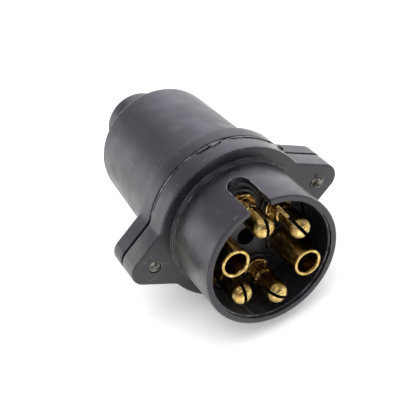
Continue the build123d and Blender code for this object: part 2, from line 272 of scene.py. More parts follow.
def moulded_plastic(name, deep, bloom, roughness, wear, dust_amount, grain_cells=2600.0):
    """Black moulded nylon: grain, smeared paler clouds where it is held that are also a painted sheen on its
    left side, painted shade in its hollows and corners, scuffs, rubbed edges and dust.
    """
    studio = bpy.context.scene.plug_plastic
    material, tree, shader = new_material(name)
    grain = use_group(tree, moulded_grain, Cells=grain_cells, Mottle_cells=140.0)
    rubbed = use_group(tree, edge_wear, Width=0.00035, Breakup_cells=450.0, Amount=wear)
    scratched = use_group(tree, scuffs, Cells=1100.0, Amount=0.3)
    dusty = use_group(tree, dust, Specks=430.0, Amount=dust_amount)
    clouds = noise_value(tree, 42.0, stretched_place(tree, stretch=(1, 0.7, 1)), detail=3.0)
    streaks = noise_value(tree, 260.0, stretched_place(tree, stretch=(1, 0.08, 1)), detail=3.0)
    shaded = use_group(tree, crevice_grime_and_shade, Reach=0.017, Amount=0.93)
    place = add_node(tree, "ShaderNodeTexCoord").outputs["Object"]
    across = add_node(tree, "ShaderNodeSeparateXYZ", {0: place}).outputs["X"]
    # Partly painted sheen: the smears are mostly kept to the left side, where they also stand in for the
    # light that falls there.
    held_and_lit_side = remap(tree, across, -0.002, -0.02, 0.15, 1.0)
    normal = add_node(tree, "ShaderNodeNewGeometry").outputs["Normal"]
    endwise = math_node(tree, "ABSOLUTE", add_node(tree, "ShaderNodeSeparateXYZ", {0: normal}).outputs["Y"])
    held_and_lit_side = multiply(tree, held_and_lit_side, remap(tree, endwise, 0.2, 0.8, 1.0, 0.12))
    cloudy, streaky = remap(tree, clouds, 0.4, 0.62, 0.06, 1.0), remap(tree, streaks, 0.3, 0.65, 0.45, 1.0)
    smears_and_sheen = multiply(tree, cloudy, streaky, held_and_lit_side)
    colour = blend_colour(tree, smears_and_sheen, (*deep, 1), (*bloom, 1))
    # Painted shade: near other surfaces the plastic is turned almost black, standing in for the shade in the
    # bore and at the collar's root.
    colour = blend_colour(tree, shaded.outputs["Mask"], colour, (0.005, 0.004, 0.004, 1))
    colour = blend_colour(tree, scratched.outputs["Mask"], colour, (*studio.scuff_colour, 1))
    colour = blend_colour(tree, rubbed.outputs["Mask"], colour, (*studio.wear_colour, 1))
    colour = blend_colour(tree, dusty.outputs["Mask"], colour, (*studio.dust_colour, 1))
    tree.links.new(colour, shader.inputs["Base Color"])
    satin = remap(tree, grain.outputs["Mottle"], 0.3, 0.7, roughness - 0.06, roughness + 0.08)
    satin = math_node(tree, "ADD", satin, multiply(tree, smears_and_sheen, 0.08))
    satin = math_node(tree, "ADD", satin, multiply(tree, dusty.outputs["Mask"], 0.3), clamp=True)
    tree.links.new(satin, shader.inputs["Roughness"])
    # Painted shade: in tight corners the reflection is turned almost off, drawing dark lines at the joints
    # and round the screws.
    corners = use_group(tree, crevice_grime_and_shade, Reach=0.0016, Amount=1.0)
    gloss = remap(tree, corners.outputs["Mask"], 0.0, 0.7, 0.55, 0.04)
    tree.links.new(gloss, shader.inputs["Specular IOR Level"])
    height = math_node(tree, "ADD", grain.outputs["Height"], scratched.outputs["Depth"])
    set_normal(tree, shader, height, studio.grain_depth)
    return material


def housing_finish():
    """Finish of the collar and front flange."""
    studio = bpy.context.scene.plug_plastic
    return moulded_plastic("housing_finish", studio.black, studio.bloom, studio.roughness, 0.75, 0.5)


def cover_finish():
    """Finish of the rear cover, a touch duller than the front."""
    studio = bpy.context.scene.plug_plastic
    roughness = studio.roughness + 0.04
    return moulded_plastic("cover_finish", studio.black, studio.cover_bloom, roughness, 0.7, 0.7)


def insert_finish():
    """Finish of the contact insert: the plastic's black painted deeper as shade inside the collar, with a
    finer grain.
    """
    studio = bpy.context.scene.plug_plastic
    # Painted shade: the insert's black is darkened because it sits deep inside the collar.
    deep = [0.55 * part for part in studio.black]
    return moulded_plastic(
        "insert_finish", deep, studio.black, studio.roughness, 0.2, 0.1, grain_cells=3400.0,
    )


def soft_rubber(name, roughness, dust_amount):
    """Dull black rubber with a powdery bloom."""
    studio = bpy.context.scene.plug_plastic
    material, tree, shader = new_material(name)
    grain = use_group(tree, moulded_grain, Cells=1900.0, Mottle_cells=300.0)
    dusty = use_group(tree, dust, Specks=600.0, Amount=dust_amount)
    hollow_mask = use_group(tree, crevice_grime_and_shade, Reach=0.002, Amount=0.6)
    colour = blend_colour(tree, grain.outputs["Mottle"], (0.008, 0.008, 0.009, 1), (0.026, 0.025, 0.024, 1))
    colour = blend_colour(tree, dusty.outputs["Mask"], colour, (*studio.dust_colour, 1))
    # Painted shade: the rubber is turned darker still in its crevices.
    colour = blend_colour(tree, hollow_mask.outputs["Mask"], colour, (0.004, 0.004, 0.004, 1))
    tree.links.new(colour, shader.inputs["Base Color"])
    tree.links.new(remap(tree, grain.outputs["Mottle"], 0.2, 0.8, roughness, 0.9), shader.inputs["Roughness"])
    set_normal(tree, shader, grain.outputs["Height"], 0.00006)
    return material


def gasket_finish():
    """Finish of the gasket between the flanges."""
    return soft_rubber("gasket_finish", 0.62, 0.25)


def grommet_finish():
    """Finish of the grommet in the neck."""
    return soft_rubber("grommet_finish", 0.7, 0.35)


def brass_finish():
    """Turned brass: bright gold, amber tarnish in streaks, speckled highlights and shaded hollows."""
    metal = bpy.context.scene.plug_metal
    material, tree, shader = new_material("brass_finish")
    marks = use_group(tree, turning_marks, Rings=900.0, Waver=2.5)
    hollow_mask = use_group(tree, crevice_grime_and_shade, Reach=0.007, Amount=0.85)
    rubbed = use_group(tree, edge_wear, Width=0.0005, Breakup_cells=900.0, Amount=1.0)
    patches = noise_value(tree, 650.0, stretched_place(tree, stretch=(1, 0.6, 1)), detail=5.0, roughness=0.7)
    speckle = noise_value(tree, 1500.0, stretched_place(tree), detail=3.0, roughness=0.7)
    place = add_node(tree, "ShaderNodeTexCoord").outputs["Object"]
    depth = add_node(tree, "ShaderNodeSeparateXYZ", {0: place}).outputs["Y"]
    sheltered = remap(tree, depth, metal.bright_end, metal.tarnished_from, 0.45, 1.0)
    tarnished = multiply(tree, remap(tree, marks.outputs["Streaks"], 0.4, 0.58), sheltered)
    colour = blend_colour(tree, remap(tree, patches, 0.45, 0.58), (*metal.brass, 1), (*metal.pale_brass, 1))
    colour = blend_colour(tree, remap(tree, speckle, 0.56, 0.44, 0.0, 0.55), colour, (*metal.tarnish, 1))
    colour = blend_colour(tree, tarnished, colour, (*metal.tarnish, 1))
    colour = blend_colour(tree, hollow_mask.outputs["Mask"], colour, (*metal.deep_tarnish, 1))
    colour = blend_colour(tree, rubbed.outputs["Mask"], colour, (*metal.pale_brass, 1))
    tree.links.new(colour, shader.inputs["Base Color"])
    shader.inputs["Metallic"].default_value = 1.0
    spread = remap(tree, patches, 0.3, 0.7, metal.brass_roughness, metal.brass_roughness + 0.14)
    tree.links.new(spread, shader.inputs["Roughness"])
    dents = noise_value(tree, 420.0, stretched_place(tree, stretch=(1, 0.7, 1)), detail=2.0, roughness=0.4)
    height = math_node(tree, "ADD", dents, multiply(tree, marks.outputs["Height"], 0.12))
    height = math_node(tree, "ADD", height, multiply(tree, speckle, 0.2))
    set_normal(tree, shader, height, metal.pitting)
    return material


def plated_steel(name, bright, dull, rust_amount, roughness):
    """Zinc-plated steel that has dulled, with streaks of rust, and darker in its hollows."""
    metal = bpy.context.scene.plug_metal
    material, tree, shader = new_material(name)
    marks = use_group(tree, turning_marks, Rings=1400.0, Waver=1.0)
    hollow_mask = use_group(tree, crevice_grime_and_shade, Reach=0.0015, Amount=0.85)
    rubbed = use_group(tree, edge_wear, Width=0.0002, Breakup_cells=1200.0, Amount=0.9)
    blotches = noise_value(tree, 900.0, stretched_place(tree), detail=4.0, roughness=0.65)
    colour = blend_colour(tree, remap(tree, blotches, 0.35, 0.62), (*bright, 1), (*dull, 1))
    rusty = multiply(tree, remap(tree, marks.outputs["Streaks"], 0.55, 0.68), rust_amount)
    colour = blend_colour(tree, rusty, colour, (*metal.rust, 1))
    # The hollows are turned a dark brown.
    colour = blend_colour(tree, hollow_mask.outputs["Mask"], colour, (0.012, 0.01, 0.008, 1))
    colour = blend_colour(tree, rubbed.outputs["Mask"], colour, (*bright, 1))
    tree.links.new(colour, shader.inputs["Base Color"])
    tree.links.new(remap(tree, rusty, 0.0, 0.6, 1.0, 0.35), shader.inputs["Metallic"])
    tree.links.new(remap(tree, blotches, 0.3, 0.7, roughness, roughness + 0.25), shader.inputs["Roughness"])
    set_normal(tree, shader, math_node(tree, "ADD", marks.outputs["Height"], blotches), 0.00004)
    return material


def screw_finish():
    """Finish of the flange and clamp screws: dull, dark and a little rusted."""
    return plated_steel("screw_finish", (0.27, 0.26, 0.23), (0.045, 0.042, 0.037), 0.6, 0.34)


def terminal_finish():
    """Finish of the terminal screws."""
    return plated_steel("terminal_finish", (0.6, 0.58, 0.52), (0.33, 0.31, 0.27), 0.15, 0.3)


def clamp_finish():
    """Finish of the cable clamp bar."""
    return plated_steel("clamp_finish", (0.55, 0.55, 0.54), (0.26, 0.26, 0.26), 0.2, 0.34)


def finish(builder):
    """Return a finish, made the first time that a piece asks for it."""
    return bpy.data.materials.get(builder.__name__) or builder()


# ---------------------------------------------------------------- mesh helpers
def paint_part(node_name, builder):
    """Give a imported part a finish."""
    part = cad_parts[node_name]
    for slot in part.material_slots:
        slot.material = finish(builder)
    return part


def soften_edges(piece, width, segments=3, angle=32.0):
    """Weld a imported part's split corners and round its sharp edges."""
    weld = piece.modifiers.new("weld", "WELD")
    weld.merge_threshold = 0.000002
    bevel = piece.modifiers.new("soft edges", "BEVEL")
    bevel.width = width
    bevel.segments = segments
    bevel.limit_method = "ANGLE"
    bevel.angle_limit = radians(angle)
    bevel.use_clamp_overlap = False
    bevel.harden_normals = True
    bevel.miter_outer = "MITER_ARC"


def place_object(name, data):
    """Put new data in the scene as an object."""
    thing = bpy.data.objects.new(name, data)
    bpy.context.scene.collection.objects.link(thing)
    return thing


def mesh_object(name, bm):
    """Turn a bmesh into an object in the scene, with its normals outwards."""
    bmesh.ops.recalc_face_normals(bm, faces=bm.faces)
    mesh = bpy.data.meshes.new(name)
    bm.to_mesh(mesh)
    bm.free()
    return place_object(name, mesh)


def add_piece(name, bm, builder, body, smooth_angle=38.0):
    """Turn a bmesh into a piece that rides on a body and has a finish."""
    piece = mesh_object(name, bm)
    piece.data.shade_smooth()
    piece.data.set_sharp_from_angle(angle=radians(smooth_angle))
    piece.data.materials.append(finish(builder))
    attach(piece, body)
    return piece


def rounded_outline(points):
    """Return (radius, y) points with each corner that has a third value rounded by that much."""
    outline = []
    for index, point in enumerate(points):
        here = Vector(point[:2])
        radius = point[2] if len(point) > 2 else 0.0
        if radius == 0.0 or index in (0, len(points) - 1):
            outline.append(tuple(here))
            continue
        before = Vector(points[index - 1][:2]) - here
        after = Vector(points[index + 1][:2]) - here
        start = here + before.normalized() * min(radius, 0.49 * before.length)
        end = here + after.normalized() * min(radius, 0.49 * after.length)
        for step in range(5):
            share = step / 4
            rest = 1 - share
            outline.append(tuple(start * rest ** 2 + here * 2 * share * rest + end * share ** 2))
    return outline


def lathe(bm, outline, centre=(0.0, 0.0), segments=64):
    """Revolve a (radius, y) outline about a line along Y through centre (x, z)."""
    rings = []
    for radius, y in outline:
        if radius < 1e-7:
            rings.append([bm.verts.new((centre[0], y, centre[1]))])
            continue
        ring = []
        for step in range(segments):
            turn = 2 * pi * step / segments
            place = (centre[0] + radius * cos(turn), y, centre[1] + radius * sin(turn))
            ring.append(bm.verts.new(place))
        rings.append(ring)
    for first, second in zip(rings, rings[1:]):
        for step in range(segments):
            ahead = (step + 1) % segments
            corners = [first[step % len(first)], first[ahead % len(first)]]
            corners += [second[ahead % len(second)], second[step % len(second)]]
            corners = list(dict.fromkeys(corners))
            if len(corners) > 2:
                bm.faces.new(corners)


def skin(bm, rows, closed=False, capped=True):
    """Join rows of points with faces. closed joins the last row to the first, capped fills both ends."""
    following = rows[1:] + rows[:1] if closed else rows[1:]
    for first, second in zip(rows, following):
        for index in range(len(first)):
            ahead = (index + 1) % len(first)
            bm.faces.new((first[index], first[ahead], second[ahead], second[index]))
    if capped:
        bm.faces.new(rows[0])
        bm.faces.new(rows[-1])


def box_cutter(low, high, turn=0.0, centre=(0.0, 0.0)):
    """Return a box from low to high, turned about a line along Y through centre (x, z)."""
    bm = bmesh.new()
    bmesh.ops.create_cube(bm, size=1.0)
    for vertex in bm.verts:
        vertex.co = Vector([low[i] + (vertex.co[i] + 0.5) * (high[i] - low[i]) for i in range(3)])
    bmesh.ops.rotate(bm, verts=bm.verts, cent=(0, 0, 0), matrix=Matrix.Rotation(-turn, 3, "Y"))
    bmesh.ops.translate(bm, verts=bm.verts, vec=(centre[0], 0, centre[1]))
    return mesh_object("cutter", bm)


def round_cutter(radius, start, direction, length):
    """Return a round bar from a start point along a direction."""
    bm = bmesh.new()
    bmesh.ops.create_cone(bm, cap_ends=True, segments=40, radius1=radius, radius2=radius, depth=length)
    heading = Vector(direction).normalized()
    matrix = heading.to_track_quat("Z", "Y").to_matrix().to_4x4()
    matrix.translation = Vector(start) + heading * length / 2
    bm.transform(matrix)
    return mesh_object("cutter", bm)


def carve(piece, cutters):
    """Cut the cutters out of a piece for good, and remove them."""
    for cutter in cutters:
        cut = piece.modifiers.new("cut", "BOOLEAN")
        cut.operation = "DIFFERENCE"
        cut.solver = "EXACT"
        cut.object = cutter
    view = bpy.context.evaluated_depsgraph_get()
    mesh = bpy.data.meshes.new_from_object(piece.evaluated_get(view))
    piece.modifiers.clear()
    piece.data = mesh
    for cutter in cutters:
        bpy.data.objects.remove(cutter)


def round_edges(piece, width, weld, segments, angle, smooth_angle, dissolve=False):
    """Weld a carved piece, round its edges that are sharper than an angle for good, and shade it smooth."""
    bm = bmesh.new()
    bm.from_mesh(piece.data)
    bmesh.ops.remove_doubles(bm, verts=bm.verts, dist=weld)
    if dissolve:
        bmesh.ops.dissolve_degenerate(bm, edges=bm.edges, dist=weld)
    sharp = [edge for edge in bm.edges if edge.is_manifold and edge.calc_face_angle() > radians(angle)]
    bmesh.ops.bevel(bm, geom=sharp, offset=width, segments=segments, affect="EDGES", clamp_overlap=True)
    bm.to_mesh(piece.data)
    bm.free()
    piece.data.shade_smooth()
    piece.data.set_sharp_from_angle(angle=radians(smooth_angle))


def round_moulded_edges(piece, width):
    """Round the edges that cutters left in a moulded piece."""
    round_edges(piece, width, weld=0.000002, segments=3, angle=42.0, smooth_angle=40.0, dissolve=True)


def round_turned_edges(piece, width, angle=40.0):
    """Round the edges that cutters left in a turned piece."""
    round_edges(piece, width, weld=0.000004, segments=2, angle=angle, smooth_angle=50.0)


def node_line(name):
    """Return the centre (x, z) of a part that is round about Y, and its first and last y."""
    low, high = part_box(name)
    return ((low[0] + high[0]) / 2, (low[2] + high[2]) / 2), low[1], high[1]


# ---------------------------------------------------------------- moulded housings
def flange_outline():
    """Return the flange's outline as (point, outward normal) pairs in (x, z), once round."""
    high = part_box("front_housing")[1]
    radius, tip_radius, root_fillet = high[2], 4.65 * MM, 4.0 * MM
    tip = Vector((high[0] - tip_radius, 0))
    flank = radians(58.5)
    flank_normal = Vector((cos(flank), sin(flank)))
    reach = flank_normal.dot(tip) + tip_radius
    root = flank - acos((reach + root_fillet) / (radius + root_fillet))
    root_centre = (radius + root_fillet) * Vector((cos(root), sin(root)))
    quarter = []
    for step in range(34):
        turn = pi / 2 + (root - pi / 2) * step / 34
        direction = Vector((cos(turn), sin(turn)))
        quarter.append((radius * direction, direction))
    for step in range(9):
        turn = root + (flank - root) * step / 8
        direction = Vector((cos(turn), sin(turn)))
        quarter.append((root_centre - root_fillet * direction, direction))
    flank_start = root_centre - root_fillet * flank_normal
    flank_end = tip + tip_radius * flank_normal
    quarter += [(flank_start.lerp(flank_end, step / 6), flank_normal) for step in range(1, 6)]
    for step in range(15):
        turn = flank * (1 - step / 14)
        direction = Vector((cos(turn), sin(turn)))
        quarter.append((tip + tip_radius * direction, direction))
    lower = [(Vector((p.x, -p.y)), Vector((n.x, -n.y))) for p, n in reversed(quarter[:-1])]
    half = quarter + lower
    left = [(Vector((-p.x, p.y)), Vector((-n.x, n.y))) for p, n in reversed(half[:-1])]
    return half + left


def loop_shell(bm, stations):
    """Skin a closed shell over stations, each ("round", radius, y) or ("flange", inset, y)."""
    outline = flange_outline()
    rings = []
    for kind, size, y in stations:
        ring = []
        for point, normal in outline:
            place = point.normalized() * size if kind == "round" else point - normal * size
            ring.append(bm.verts.new((place.x, y, place.y)))
        rings.append(ring)
    skin(bm, rings, closed=True, capped=False)


def round_run(points):
    """Return "round" stations for (radius, y) points, with corners rounded where a third value says."""
    return [("round", radius, y) for radius, y in rounded_outline(points)]


def flange_rim(front, back, front_edge, back_edge):
    """Return stations round a flange's outer side, with both its edges rounded."""
    stations = []
    for step in range(6):
        turn = pi / 2 * step / 5
        stations.append(("flange", front_edge * (1 - sin(turn)), front + front_edge * (1 - cos(turn))))
    middle = (front + back) / 2
    stations += [("flange", 0.0, 0.6 * front + 0.4 * middle), ("flange", 0.0, middle)]
    for step in range(6):
        turn = pi / 2 * step / 5
        stations.append(("flange", back_edge * (1 - cos(turn)), back - back_edge * (1 - sin(turn))))
    return stations


def slot_cutter(width, end, low, high):
    """Return the keyway: a bar from in front of the rim to a round end, between two heights."""
    bm = bmesh.new()
    half = width / 2
    sides = [(-half, -2 * MM)]
    sides += [(-half * cos(pi * step / 24), end - half + half * sin(pi * step / 24)) for step in range(25)]
    sides += [(half, -2 * MM)]
    rows = [[bm.verts.new((x, y, z)) for x, y in sides] for z in (low, high)]
    skin(bm, rows)
    return mesh_object("cutter", bm)


def ear_holes(start, length):
    """Return cutters for the two screw holes through the ears."""
    cutters = []
    for node_name in FLANGE_SCREW_NODES:
        centre = node_line(node_name)[0]
        cutters.append(round_cutter(2.05 * MM, (centre[0], start, centre[1]), (0, 1, 0), length))
    return cutters


def shape_front_housing():
    """Mould the collar, its keyway, the root ring and the front flange in one piece."""
    edge = bpy.context.scene.plug_plastic.edge_radius
    low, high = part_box("front_housing")
    rim, back = low[1], high[1]
    collar, lip_bore, bore, root_ring, insert_seat = (
        radius * MM for radius in (21.5, 19.6, 19.2, 22.2, 21.4)
    )
    lip_end, root_front, flange_front, bore_end = (depth * MM for depth in (1.2, 20.8, 21.7, 24.0))
    keyway_width, keyway_length, keyway_low, keyway_high = (size * MM for size in (6.9, 15.4, 9.6, 31.0))
    stations = round_run([
        (insert_seat - 0.4 * MM, back),
        (insert_seat, back, 0.2 * MM),
        (insert_seat, bore_end, 0.1 * MM),
        (bore, bore_end, 0.1 * MM),
        (bore, 18.0 * MM),
        (bore, 14.0 * MM),
        (bore, 10.0 * MM),
        (bore, 6.0 * MM),
        (bore, lip_end, 0.15 * MM),
        (lip_bore, lip_end, 0.1 * MM),
        (lip_bore, rim, edge),
        (collar - 0.1 * MM, rim, 0.45 * MM),
        (collar, rim + 1.2 * MM, 0.3 * MM),
    ])
    stations += [("round", collar, step * 1.2 * MM) for step in range(2, 17)]
    stations += round_run([
        (collar, 20.0 * MM),
        (collar, root_front, 0.2 * MM),
        (root_ring, root_front, 0.3 * MM),
        (root_ring, flange_front, 0.2 * MM),
        (root_ring + 0.6 * MM, flange_front),
    ])
    stations += flange_rim(flange_front, back, 0.5 * MM, edge)
    bm = bmesh.new()
    loop_shell(bm, stations)
    piece = add_piece("front_housing_moulded", bm, housing_finish, "mating_half")
    slot = slot_cutter(keyway_width, keyway_length, keyway_low, keyway_high)
    carve(piece, [slot, *ear_holes(20 * MM, 12 * MM)])
    round_moulded_edges(piece, edge)
    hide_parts("front_housing")
    return piece


def shape_rear_cover():
    """Mould the rear flange, the body, the neck and the wiring space in one piece."""
    edge = bpy.context.scene.plug_plastic.edge_radius
    low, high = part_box("rear_cover")
    front, neck_end = low[1], high[1]
    body_start, body_end = front + 5.9 * MM, neck_end - 18.6 * MM
    cavity_end = body_end - 2.2 * MM
    neck, neck_mouth, grommet_bore = 11.4 * MM, 7.6 * MM, 9.2 * MM
    grommet_stop = neck_end - 2.0 * MM
    stations = [("round", 20.6 * MM, front), ("round", 22.4 * MM, front)]
    stations += flange_rim(front, body_start, edge, 0.5 * MM)
    stations += [("round", 23.3 * MM, body_start)]
    body = [(23.2 * MM, body_start), (22.6 * MM, body_start, 0.5 * MM)]
    for step in range(1, 19):
        share = step / 20
        body.append(((22.6 - 1.6 * share) * MM, body_start + (body_end - body_start) * share))
    stations += round_run(body)
    corner = 1.8 * MM
    for step in range(9):
        turn = pi / 2 * step / 8
        place = (21.0 * MM - corner * (1 - cos(turn)), body_end - corner * (1 - sin(turn)))
        stations.append(("round", *place))
    stations += round_run([
        (16.0 * MM, body_end),
        (neck, body_end, 0.5 * MM),
        (neck, body_end + 6.0 * MM),
        (neck, body_end + 12.0 * MM),
        (neck, neck_end, 1.2 * MM),
        (neck_mouth, neck_end, 0.3 * MM),
        (neck_mouth, grommet_stop, 0.15 * MM),
        (grommet_bore, grommet_stop, 0.05 * MM),
        (grommet_bore, cavity_end, 0.15 * MM),
        (18.8 * MM, cavity_end, 0.5 * MM),
        (20.4 * MM, front, 0.2 * MM),
        (20.6 * MM, front),
    ])[:-1]
    bm = bmesh.new()
    loop_shell(bm, stations)
    piece = add_piece("rear_cover_moulded", bm, cover_finish, "cover")
    carve(piece, ear_holes(front - 2 * MM, 10 * MM))
    round_moulded_edges(piece, edge)
    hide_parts("rear_cover")
    return piece


def shape_clamp_seat():
    """Mould the block inside the cover that the cable clamp's bar is screwed down on."""
    front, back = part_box("cable_clamp_bar")[0][1] - 2.0 * MM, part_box("rear_cover")[1][1] - 20.8 * MM
    half, drop, throat, floor = 13.1 * MM, 1.0 * MM, 4.9 * MM, 19.4 * MM
    throat_start, floor_start = asin(drop / throat), 0.83
    bm = bmesh.new()
    sides = [(-half, -drop), (-throat, -drop)]
    turns = [throat_start + (pi - 2 * throat_start) * step / 20 for step in range(1, 20)]
    sides += [(-throat * cos(turn), -throat * sin(turn)) for turn in turns]
    sides += [(throat, -drop), (half, -drop)]
    turns = [floor_start + (pi - 2 * floor_start) * step / 20 for step in range(21)]
    sides += [(floor * cos(turn), -floor * sin(turn)) for turn in turns]
    rows = [[bm.verts.new((x, y, z)) for x, z in sides] for y in (front, back + 0.1 * MM)]
    skin(bm, rows)
    piece = add_piece("clamp_seat", bm, cover_finish, "cover")
    cutters = []
    for node_name in CLAMP_SCREW_NODES:
        low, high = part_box(node_name)
        start = ((low[0] + high[0]) / 2, (low[1] + high[1]) / 2, 0.0)
        cutters.append(round_cutter(1.5 * MM, start, (0, 0, -1), 9.6 * MM))
    carve(piece, cutters)
    round_moulded_edges(piece, 0.00015)
    return piece


# ---------------------------------------------------------------- flash and gasket
def shape_joint_flash():
    """Make the ragged lip of moulding flash that stands along the joint between the flanges."""
    detail = bpy.context.scene.plug_detail
    flange_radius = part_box("front_housing")[1][2]
    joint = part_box("flange_gasket")[0][1]
    bm = bmesh.new()
    for start, end, height, width, seed in (
        (79.0, 100.0, detail.flash_height, 1.9 * MM, 3.0),
        (103.0, 152.0, 0.45 * detail.flash_height, 0.6 * MM, 7.0),
        (36.0, 76.0, 0.7 * detail.flash_height, 1.1 * MM, 11.0),
    ):
        steps = int((end - start) * 3)
        rows = []
        for step in range(steps + 1):
            share = step / steps
            turn = radians(start + (end - start) * share)
            fade = min(1.0, 8 * share, 8 * (1 - share))
            ragged = 0.5 + 0.5 * noise.noise(Vector((share * (end - start) * 0.55, seed, 0.0)))
            chips = 0.5 + 0.5 * noise.noise(Vector((share * (end - start) * 2.3, seed, 5.0)))
            lift = height * fade * (0.25 + 0.75 * chips)
            front = joint - width * fade * (0.1 + 1.7 * ragged * chips)
            back = joint + 0.2 * MM
            profile = [(flange_radius - 0.2 * MM, front), (flange_radius + lift, front + 0.1 * MM)]
            profile += [(flange_radius + 0.8 * lift, back), (flange_radius - 0.2 * MM, back)]
            rows.append([bm.verts.new((r * cos(turn), y, r * sin(turn))) for r, y in profile])
        skin(bm, rows)
    return add_piece("joint_flash", bm, housing_finish, "mating_half", smooth_angle=50)


def shape_flash_nub():
    """Make the small torn nub of flash beside the root of the right ear."""
    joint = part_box("flange_gasket")[0][1]
    flange_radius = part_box("front_housing")[1][2]
    turn = radians(bpy.context.scene.plug_detail.nub_turn)
    middle = Vector((flange_radius * cos(turn), joint - 0.9 * MM, flange_radius * sin(turn)))
    bm = bmesh.new()
    bmesh.ops.create_icosphere(bm, subdivisions=3, radius=1.0)
    for vertex in bm.verts:
        bulge = 1 + 0.45 * noise.noise(vertex.co * 1.7 + Vector((4, 2, 9)))
        vertex.co = Vector((0.75 * vertex.co.x, 1.0 * vertex.co.y, 0.75 * vertex.co.z)) * bulge * 1.25 * MM
    bmesh.ops.translate(bm, verts=bm.verts, vec=middle)
    return add_piece("flash_nub", bm, housing_finish, "mating_half", smooth_angle=60)


def shape_gasket():
    """Make the gasket: a ring with bulged faces, whose outer edge wanders where it was squeezed."""
    low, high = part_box("flange_gasket")
    outer, front, back = high[2], low[1], high[1]
    inner = outer - 3.2 * MM
    middle = (front + back) / 2
    edge = bpy.context.scene.plug_detail.gasket_bulge
    outline = [(inner, back), (inner, front), (outer - 0.25 * MM, front), (outer, front + 0.15 * MM)]
    outline += [(outer + edge, middle), (outer, back - 0.15 * MM), (outer - 0.25 * MM, back), (inner, back)]
    bm = bmesh.new()
    lathe(bm, outline, segments=240)
    bmesh.ops.remove_doubles(bm, verts=bm.verts, dist=1e-7)
    for vertex in bm.verts:
        radius = hypot(vertex.co.x, vertex.co.z)
        if radius > outer - 0.1 * MM:
            turn = atan2(vertex.co.z, vertex.co.x)
            wander = noise.noise(Vector((9 * cos(turn), 9 * sin(turn), 1.0)))
            push = 1 + wander * 0.16 * MM / radius
            vertex.co.x *= push
            vertex.co.z *= push
    piece = add_piece("flange_gasket_ring", bm, gasket_finish, "mating_half")
    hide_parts("flange_gasket")
    return piece


# ---------------------------------------------------------------- contacts
def terminal_outline(back):
    """Return the outline of the terminal behind the insert, from its front corner to the wire hole."""
    front, radius = back - TERMINAL_LENGTH, 3.5 * MM
    hole_radius, hole_end = 1.6 * MM, back - 8.5 * MM
    return [
        (2.5 * MM, front),
        (radius, front, 0.25 * MM),
        (radius, back, 0.35 * MM),
        (hole_radius + 0.3 * MM, back),
        (hole_radius, back - 0.3 * MM),
        (hole_radius, hole_end),
        (0.0, hole_end - 0.6 * MM),
    ]


def cut_terminal(piece, node_name, centre, back):
    """Cut the screw's flat and hole into a terminal; its screw gives the place and direction."""
    low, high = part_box(node_name.replace("contact", "terminal_screw"))
    screw_y = (low[1] + high[1]) / 2
    out = Vector(((low[0] + high[0]) / 2 - centre[0], 0, (low[2] + high[2]) / 2 - centre[1])).normalized()
    turn = atan2(out.z, out.x)
    flat = box_cutter((2.7 * MM, back - 11.5 * MM, -6 * MM), (6 * MM, back + 1 * MM, 6 * MM), turn, centre)
    hole = round_cutter(1.5 * MM, (centre[0], screw_y, centre[1]), out, 5 * MM)
    carve(piece, [flat, hole])


def shape_pin(node_name):
    """Turn one split pin: base collar, grooved shank, domed nose, slit and rear terminal."""
    detail = bpy.context.scene.plug_detail
    centre, tip, back = node_line(node_name)
    boss = tip + 15.55 * MM
    radius, groove, neck, collar = detail.pin_radius, 0.75 * MM, 0.5 * MM, 4.3 * MM
    collar_front = boss - 1.2 * MM
    turns = [pi / 2 * step / 12 for step in range(13)]
    nose = [(radius * sin(turn), tip + 3.0 * MM * (1 - cos(turn))) for turn in turns]
    shank = [
        (radius, tip + 4.2 * MM),
        (radius - 0.04 * MM, tip + 6.0 * MM),
        (radius, tip + 7.8 * MM),
        (radius, tip + 8.9 * MM, 0.3 * MM),
        (radius - groove, tip + 9.3 * MM, 0.25 * MM),
        (radius - groove, tip + 10.2 * MM, 0.25 * MM),
        (radius - 0.1 * MM, tip + 10.5 * MM, 0.25 * MM),
        (radius - 0.1 * MM, tip + 12.1 * MM, 0.2 * MM),
        (radius - neck, tip + 12.4 * MM, 0.15 * MM),
        (radius - neck, collar_front, 0.2 * MM),
        (collar, collar_front, 0.28 * MM),
        (collar, boss, 0.12 * MM),
        (2.5 * MM, boss),
    ]
    outline = rounded_outline(nose + shank + terminal_outline(back))
    bm = bmesh.new()
    lathe(bm, outline, centre)
    piece = add_piece(f"{node_name}_turned", bm, brass_finish, "mating_half")
    cut_terminal(piece, node_name, centre, back)
    direction = radians(SLIT_DIRECTIONS[node_name])
    half = detail.slit_width / 2
    slit_end = tip + 12.0 * MM
    slit = box_cutter((-6 * MM, tip - 1 * MM, -half), (6 * MM, slit_end, half), direction, centre)
    carve(piece, [slit])
    round_turned_edges(piece, 0.09 * MM)
    across = Vector((-sin(direction), 0, cos(direction)))
    middle = Vector((centre[0], 0, centre[1]))
    for vertex in piece.data.vertices:
        share = max(0.0, (slit_end - vertex.co.y) / (slit_end - tip))
        side = (vertex.co - middle).dot(across)
        if share > 0:
            vertex.co += across * (detail.slit_spread * share ** 2 * (1 if side > 0 else -1))
    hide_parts(node_name)
    return piece


